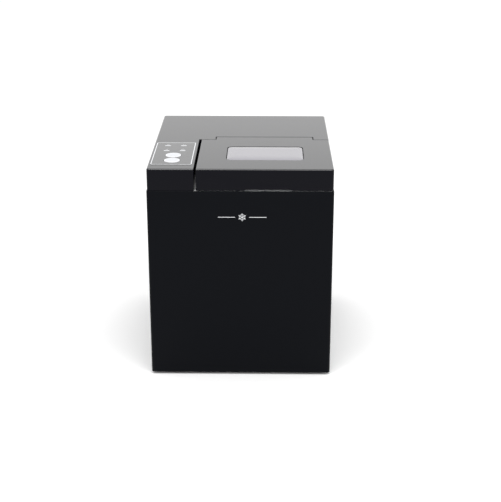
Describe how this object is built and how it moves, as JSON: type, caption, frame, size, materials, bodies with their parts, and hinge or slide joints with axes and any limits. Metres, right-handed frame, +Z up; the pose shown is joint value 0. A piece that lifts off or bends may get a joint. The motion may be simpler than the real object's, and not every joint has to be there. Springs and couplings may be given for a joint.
{
  "type": "countertop ice maker",
  "caption": "Countertop ice maker: boxy gloss cabinet with a hinged, windowed bin lid, a side console with two buttons, and a cooling plant behind.",
  "frame": {"origin": "centre of the footprint, on the plane of the feet", "axes": "+Z up, +X to the right seen from the front, the front faces -Y"},
  "size_m": [0.292, 0.342, 0.3515],
  "materials": {
    "casing_black": "high-gloss moulded plastic",
    "cover_black": "high-gloss moulded plastic",
    "fascia_black": "printed gloss film with a pale border",
    "window_smoke": "translucent moulded window",
    "lamp_lens": "frosted lens",
    "button_silver": "silver-painted plastic",
    "liner_white": "satin moulded plastic",
    "basket_clear": "translucent plastic",
    "tray_clear": "translucent plastic",
    "foam": "expanded foam",
    "rubber_black": "matt rubber",
    "gasket_grey": "silicone rubber",
    "pan_black": "powder-coated steel",
    "steel": "plated steel",
    "copper": "plain copper",
    "fin_aluminium": "mill finish",
    "compressor_black": "black enamel",
    "dark_plastic": "moulded plastic",
    "board_green": "circuit board",
    "float_orange": "moulded foam",
    "hose_clear": "silicone hose"
  },
  "bodies": {
    "cabinet": {"base_pan": "pan_black", "rubber_feet": "rubber_black", "body_shell": "casing_black", "rear_panel": "casing_black", "top_cover": "cover_black", "casing_screws": "steel", "rear_screws": "steel", "control_fascia": "fascia_black", "indicator_lenses": "lamp_lens", "control_board": "board_green", "bin_tub": "liner_white", "tub_insulation": "foam", "bin_collar": "liner_white", "ice_shelf": "liner_white", "ice_sensors": "dark_plastic", "evaporator": "copper", "evaporator_bracket": "steel", "tray_motor": "dark_plastic", "tray_bush": "liner_white", "float_stem": "liner_white", "drain_spout": "liner_white", "water_pump": "dark_plastic", "supply_hose": "hose_clear", "bulkhead": "steel", "compressor": "compressor_black", "compressor_mounts": "rubber_black", "terminal_cover": "dark_plastic", "condenser_fins": "fin_aluminium", "condenser_tube": "copper", "fan_shroud": "dark_plastic", "fan_motor": "steel", "filter_drier": "copper", "discharge_line": "copper", "suction_line": "copper", "hot_gas_valve": "copper", "power_board": "board_green", "power_inlet": "rubber_black"},
    "lid": {"lid_shell": "cover_black", "lid_liner": "liner_white", "lid_window": "window_smoke", "lid_gasket": "gasket_grey", "hinge_pins": "steel"},
    "power_button": {"power_button": "button_silver"},
    "select_button": {"select_button": "button_silver"},
    "basket": {"ice_basket": "basket_clear"},
    "tray": {"water_tray": "tray_clear"},
    "shovel": {"ice_shovel": "tray_clear"},
    "float": {"water_float": "float_orange"},
    "fan": {"condenser_fan": "dark_plastic"},
    "drain_plug": {"drain_plug": "rubber_black"}
  },
  "joints": [
    {"name": "lid_hinge", "type": "hinge", "parent": "cabinet", "child": "lid", "pos_m": [0.037, 0.0115, 0.3445], "axis": [-1, 0, 0], "range_deg": [0, 95]},
    {"name": "power_button_press", "type": "slide", "parent": "cabinet", "child": "power_button", "axis": [0, 0, -1], "range_m": [0, 0.0012], "stiffness_N_per_m": 300, "springref_m": -0.002},
    {"name": "select_button_press", "type": "slide", "parent": "cabinet", "child": "select_button", "axis": [0, 0, -1], "range_m": [0, 0.0012], "stiffness_N_per_m": 300, "springref_m": -0.002},
    {"name": "basket_lift", "type": "slide", "parent": "cabinet", "child": "basket", "axis": [0, 0, 1], "range_m": [0, 0.06]},
    {"name": "tray_tilt", "type": "hinge", "parent": "cabinet", "child": "tray", "pos_m": [0.0377, -0.0391, 0.271], "axis": [1, 0, 0], "range_deg": [0, 85]},
    {"name": "shovel_slide", "type": "slide", "parent": "cabinet", "child": "shovel", "axis": [0, -1, 0], "range_m": [0, 0.055]},
    {"name": "float_rise", "type": "slide", "parent": "cabinet", "child": "float", "axis": [0, 0, 1], "range_m": [0, 0.018]},
    {"name": "fan_spin", "type": "hinge", "parent": "cabinet", "child": "fan", "pos_m": [-0.1016, 0.0714, 0.077], "axis": [1, 0, 0], "continuous": true},
    {"name": "drain_plug_pull", "type": "slide", "parent": "cabinet", "child": "drain_plug", "axis": [1, 0, 0], "range_m": [0, 0.012]}
  ],
  "couplings": [
    {"joint": "shovel_slide", "follows": "tray_tilt", "m_per_rad": 0.036}
  ]
}
